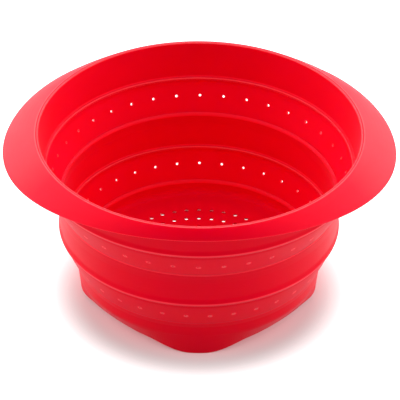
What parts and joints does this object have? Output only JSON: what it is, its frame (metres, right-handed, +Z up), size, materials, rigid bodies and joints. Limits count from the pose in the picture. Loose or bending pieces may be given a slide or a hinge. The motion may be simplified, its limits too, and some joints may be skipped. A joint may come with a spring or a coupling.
{
  "type": "collapsible colander",
  "caption": "Round silicone colander that folds flat: stiff wall rings joined by perforated fold bands, an oval winged rim, a raised perforated floor and corner feet.",
  "frame": {"origin": "on the table, under the middle of the floor, at the bottom of the feet", "axes": "+Z up along the bowl's axis and along both folds, +X towards the right wing of the rim, -Y towards the front foot"},
  "size_m": [0.2776, 0.2398, 0.132],
  "materials": {
    "rim_silicone": "matte red platinum silicone",
    "wall_silicone": "matte red platinum silicone",
    "fold_silicone": "matte red platinum silicone, thin and flexible",
    "base_silicone": "matte red platinum silicone"
  },
  "bodies": {
    "base": {"base_shoulder": "base_silicone", "floor_plate": "base_silicone", "base_skirt": "base_silicone", "front_foot": "base_silicone", "right_foot": "base_silicone", "back_foot": "base_silicone", "left_foot": "base_silicone"},
    "middle": {"middle_shoulder": "wall_silicone", "middle_wall": "wall_silicone", "middle_wall_bead": "wall_silicone", "lower_fold_band": "fold_silicone"},
    "rim": {"right_grip": "rim_silicone", "left_grip": "rim_silicone", "front_rim": "rim_silicone", "back_rim": "rim_silicone", "upper_wall": "wall_silicone", "upper_wall_bead": "wall_silicone", "upper_fold_band": "fold_silicone"}
  },
  "joints": [
    {"name": "lower_fold", "type": "slide", "parent": "base", "child": "middle", "axis": [0, 0, -1], "range_m": [0, 0.0492], "deforming": ["lower_fold_band"]},
    {"name": "upper_fold", "type": "slide", "parent": "middle", "child": "rim", "axis": [0, 0, -1], "range_m": [0, 0.0492], "deforming": ["upper_fold_band"]}
  ]
}
